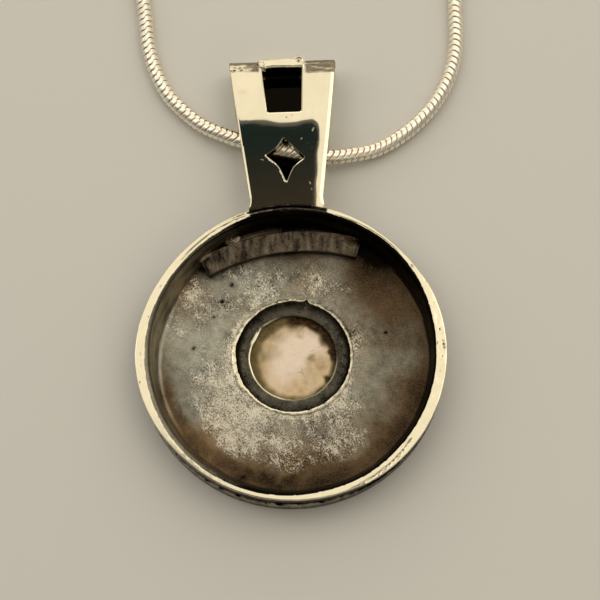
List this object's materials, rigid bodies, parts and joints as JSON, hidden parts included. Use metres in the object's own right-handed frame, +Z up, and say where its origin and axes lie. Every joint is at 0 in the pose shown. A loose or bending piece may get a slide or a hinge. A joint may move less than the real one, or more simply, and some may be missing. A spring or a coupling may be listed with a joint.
{
  "type": "mother of pearl pendant on a snake chain",
  "caption": "Round cast silver pendant with a hollow back, a window onto its mother of pearl stone, a folded bail with a slot and a diamond hole, on a closed snake chain, lying face down.",
  "frame": {"origin": "middle of the whole necklace's box, on the surface that it lies on", "axes": "+Z up, out of the pendant's hollow back; +Y from the pendant along the chain's loop to the clasp; +X to the right, seen from above"},
  "size_m": [0.1221, 0.2093, 0.004],
  "materials": {
    "tarnished_silver": "polished on the rim and the bail, dark and frosted in the recess",
    "pearl_shell": "polished shell, creamy pink with olive patches on its rough back",
    "chain_silver": "polished silver, slightly yellow",
    "clasp_silver": "polished silver"
  },
  "bodies": {
    "root": {"pendant_body": "tarnished_silver", "mother_of_pearl": "pearl_shell", "chain": "chain_silver", "end_cap_left": "clasp_silver", "end_cap_right": "clasp_silver", "clasp": "clasp_silver"}
  },
  "joints": []
}
